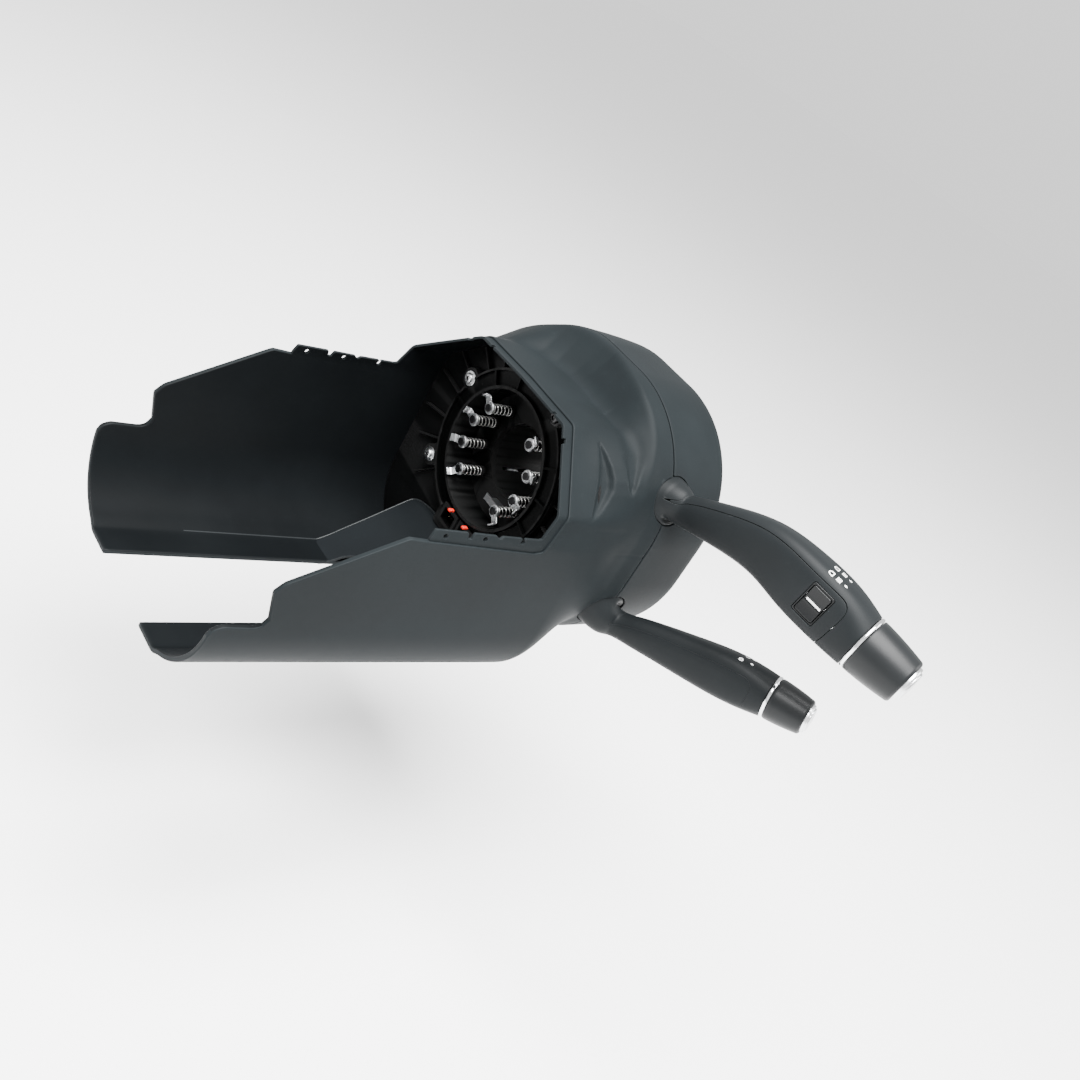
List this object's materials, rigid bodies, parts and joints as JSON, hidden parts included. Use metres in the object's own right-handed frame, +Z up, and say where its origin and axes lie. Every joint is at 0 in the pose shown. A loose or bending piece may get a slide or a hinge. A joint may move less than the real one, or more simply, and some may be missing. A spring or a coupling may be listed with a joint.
{
  "type": "combination stalk switch",
  "caption": "Steering column switch drum with lower column shroud, a long upper stalk with rocker and a shorter lower stalk, each with a turning end knob and push button.",
  "frame": {"origin": "column axis, in the plane of the seam between the drum's two halves", "axes": "-Y towards the driver along the steering column, +X the driver's right, +Z up; the stalks are on the -X side and the shroud reaches towards +Y"},
  "size_m": [0.3519, 0.3349, 0.201],
  "materials": {
    "housing_plastic": "satin moulded grain, charcoal grey",
    "inner_plastic": "plain moulded black",
    "stalk_plastic": "soft-touch charcoal",
    "boot_rubber": "satin black",
    "chrome_trim": "bright chrome",
    "silver_button": "silver paint",
    "zinc_steel": "zinc plated",
    "spring_steel": "spring wire",
    "sheet_steel": "stamped sheet",
    "acetal": "natural acetal",
    "red_lock": "red lock",
    "pin_brass": "tinned brass",
    "board_green": "solder mask",
    "ribbon_tan": "flat cable"
  },
  "bodies": {
    "housing": {"rear_housing": "housing_plastic", "front_cover": "housing_plastic", "carrier": "inner_plastic", "carrier_screws": "zinc_steel", "clamp_band": "sheet_steel", "clamp_screw": "zinc_steel", "contact_plate": "inner_plastic", "contact_posts": "zinc_steel", "contact_springs": "spring_steel", "ring_terminals": "zinc_steel", "ground_bracket": "sheet_steel", "main_connector": "inner_plastic", "aux_connector": "inner_plastic", "connector_pins": "pin_brass", "connector_locks": "red_lock", "circuit_board": "board_green", "clock_spring_case": "inner_plastic", "clock_spring_lid": "inner_plastic", "clock_spring_ribbon": "ribbon_tan", "clock_spring_screws": "zinc_steel", "upper_switch_base": "inner_plastic", "lower_switch_base": "inner_plastic", "base_screws": "zinc_steel", "upper_detent_plate": "acetal", "lower_detent_plate": "acetal"},
    "clock_rotor": {"clock_spring_rotor": "inner_plastic", "rotor_connector": "acetal", "cancel_cam": "acetal"},
    "upper_gimbal": {"upper_yoke": "sheet_steel", "upper_yoke_pins": "zinc_steel", "upper_cross_pin": "zinc_steel"},
    "upper_stalk": {"upper_lever_core": "inner_plastic", "upper_detent_spring": "spring_steel", "upper_ball_boot": "boot_rubber", "upper_stalk_shell": "stalk_plastic", "upper_stalk_panel": "stalk_plastic", "upper_spindle": "inner_plastic", "upper_chrome_ring": "chrome_trim", "upper_button_spring": "spring_steel", "rocker_bezel": "stalk_plastic", "rocker_switch": "inner_plastic"},
    "upper_plunger": {"upper_detent_plunger": "acetal"},
    "upper_knob": {"upper_rotary_knob": "stalk_plastic"},
    "upper_button": {"upper_end_button": "silver_button"},
    "rocker": {"rocker_button": "inner_plastic", "rocker_pin": "zinc_steel"},
    "lower_gimbal": {"lower_yoke": "sheet_steel", "lower_yoke_pins": "zinc_steel", "lower_cross_pin": "zinc_steel"},
    "lower_stalk": {"lower_lever_core": "inner_plastic", "lower_detent_spring": "spring_steel", "lower_ball_boot": "boot_rubber", "lower_stalk_shell": "stalk_plastic", "lower_stalk_panel": "stalk_plastic", "lower_spindle": "inner_plastic", "lower_chrome_ring": "chrome_trim", "lower_button_spring": "spring_steel"},
    "lower_plunger": {"lower_detent_plunger": "acetal"},
    "lower_knob": {"lower_rotary_knob": "stalk_plastic"},
    "lower_button": {"lower_end_button": "silver_button"}
  },
  "joints": [
    {"name": "steering_hub_turn", "type": "hinge", "parent": "housing", "child": "clock_rotor", "pos_m": [0, -0.03, 0], "axis": [0, 1, 0], "range_deg": [-900, 900]},
    {"name": "upper_stalk_swing", "type": "hinge", "parent": "housing", "child": "upper_gimbal", "pos_m": [-0.07382, -0.004, 0.03408], "axis": [0, 1, 0], "range_deg": [-8, 8]},
    {"name": "upper_stalk_pull", "type": "hinge", "parent": "upper_gimbal", "child": "upper_stalk", "pos_m": [-0.07382, -0.004, 0.03408], "axis": [0.4772, 0, 0.8788], "range_deg": [-5, 6], "stiffness_Nm_per_rad": 12},
    {"name": "upper_detent_travel", "type": "slide", "parent": "upper_stalk", "child": "upper_plunger", "axis": [-0.8788, 0, 0.4772], "range_m": [0, 0.0012], "stiffness_N_per_m": 300, "springref_m": -0.003, "deforming": ["upper_detent_spring"]},
    {"name": "upper_knob_turn", "type": "hinge", "parent": "upper_stalk", "child": "upper_knob", "pos_m": [-0.2195, -0.0365, 0.0496], "axis": [-0.9488, -0.3063, -0.0771], "range_deg": [-40, 40]},
    {"name": "upper_button_press", "type": "slide", "parent": "upper_stalk", "child": "upper_button", "axis": [0.9488, 0.3063, 0.0771], "range_m": [0, 0.0022], "stiffness_N_per_m": 400, "springref_m": -0.004, "deforming": ["upper_button_spring"]},
    {"name": "rocker_tilt", "type": "hinge", "parent": "upper_stalk", "child": "rocker", "pos_m": [-0.19293, -0.01799, 0.05513], "axis": [-0.9361, -0.3291, -0.1243], "range_deg": [-7, 7], "stiffness_Nm_per_rad": 0.2},
    {"name": "lower_stalk_swing", "type": "hinge", "parent": "housing", "child": "lower_gimbal", "pos_m": [-0.07582, -0.002, -0.04216], "axis": [0, 1, 0], "range_deg": [-6, 6]},
    {"name": "lower_stalk_pull", "type": "hinge", "parent": "lower_gimbal", "child": "lower_stalk", "pos_m": [-0.07582, -0.002, -0.04216], "axis": [-0.4305, 0, 0.9026], "range_deg": [-5, 5], "stiffness_Nm_per_rad": 12},
    {"name": "lower_detent_travel", "type": "slide", "parent": "lower_stalk", "child": "lower_plunger", "axis": [-0.9026, 0, -0.4305], "range_m": [0, 0.0012], "stiffness_N_per_m": 300, "springref_m": -0.003, "deforming": ["lower_detent_spring"]},
    {"name": "lower_knob_turn", "type": "hinge", "parent": "lower_stalk", "child": "lower_knob", "pos_m": [-0.1906, -0.0504, -0.023], "axis": [-0.9181, -0.359, 0.168], "range_deg": [-40, 40]},
    {"name": "lower_button_press", "type": "slide", "parent": "lower_stalk", "child": "lower_button", "axis": [0.9181, 0.359, -0.168], "range_m": [0, 0.00171], "stiffness_N_per_m": 400, "springref_m": -0.004, "deforming": ["lower_button_spring"]}
  ]
}
